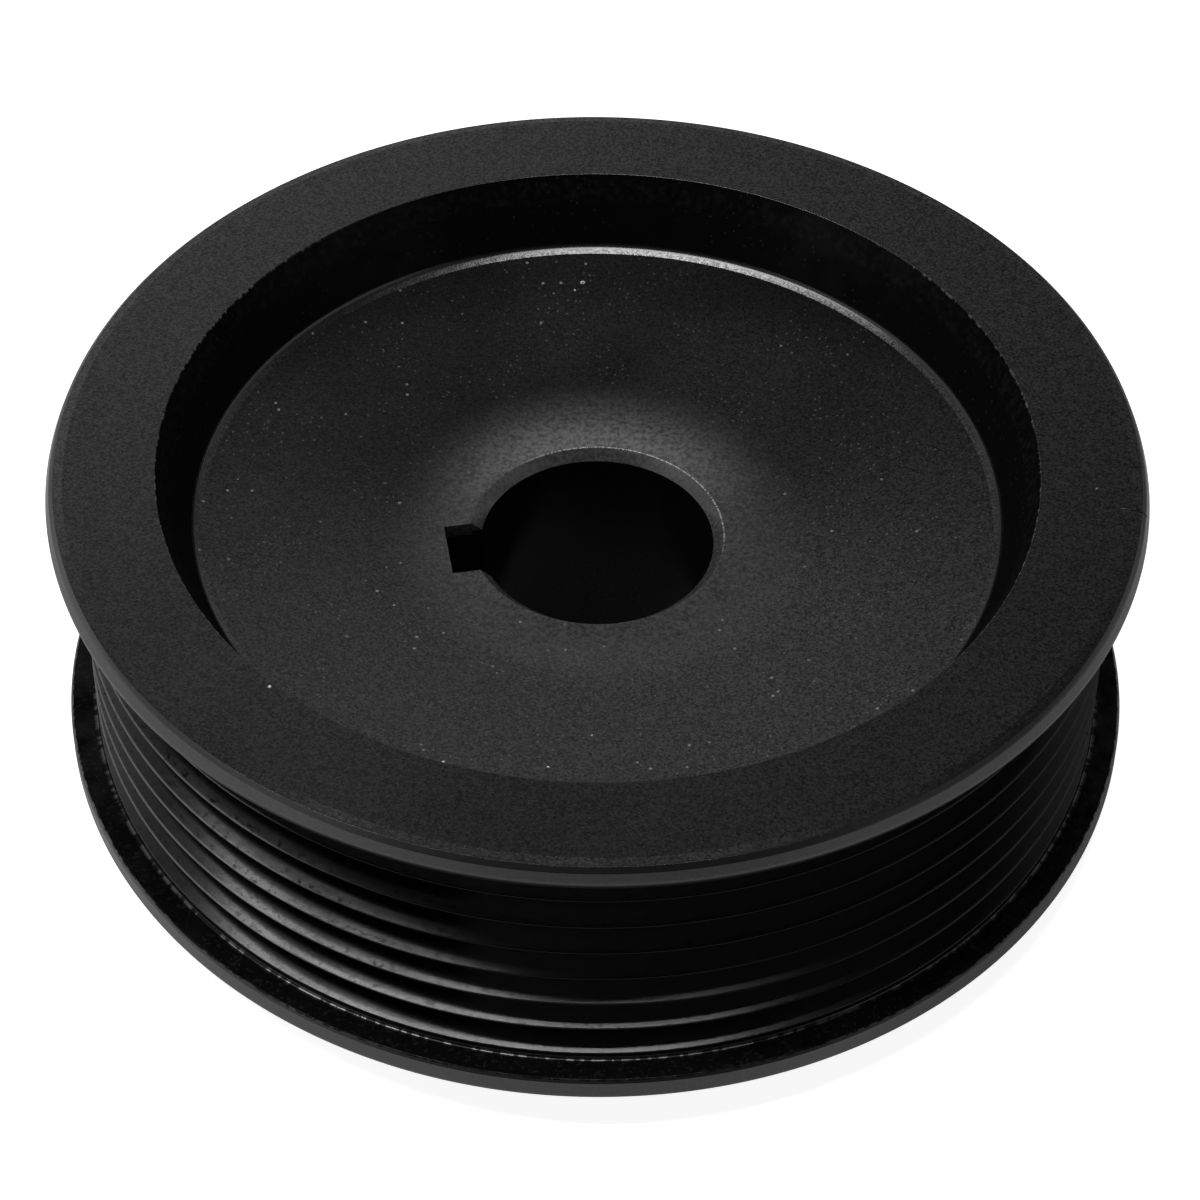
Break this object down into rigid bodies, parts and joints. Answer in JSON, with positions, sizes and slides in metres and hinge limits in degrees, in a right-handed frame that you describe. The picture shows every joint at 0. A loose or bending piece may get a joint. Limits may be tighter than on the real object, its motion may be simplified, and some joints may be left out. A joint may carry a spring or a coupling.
{
  "type": "ribbed belt pulley",
  "caption": "Flanged V-ribbed belt pulley, one turned casting with a dished front, a conical web and a keyed straight bore.",
  "frame": {"origin": "centre of the rear boss's face, on which the pulley stands", "axes": "+Z along the bore, from the rear boss towards the dished front; +X to the right in the picture, +Y away from the camera; the keyway points to about 189.5 degrees from +X"},
  "size_m": [0.1048, 0.1048, 0.0363],
  "materials": {
    "black_paint": "satin black paint over turned iron"
  },
  "bodies": {
    "root": {"pulley": "black_paint"}
  },
  "joints": []
}
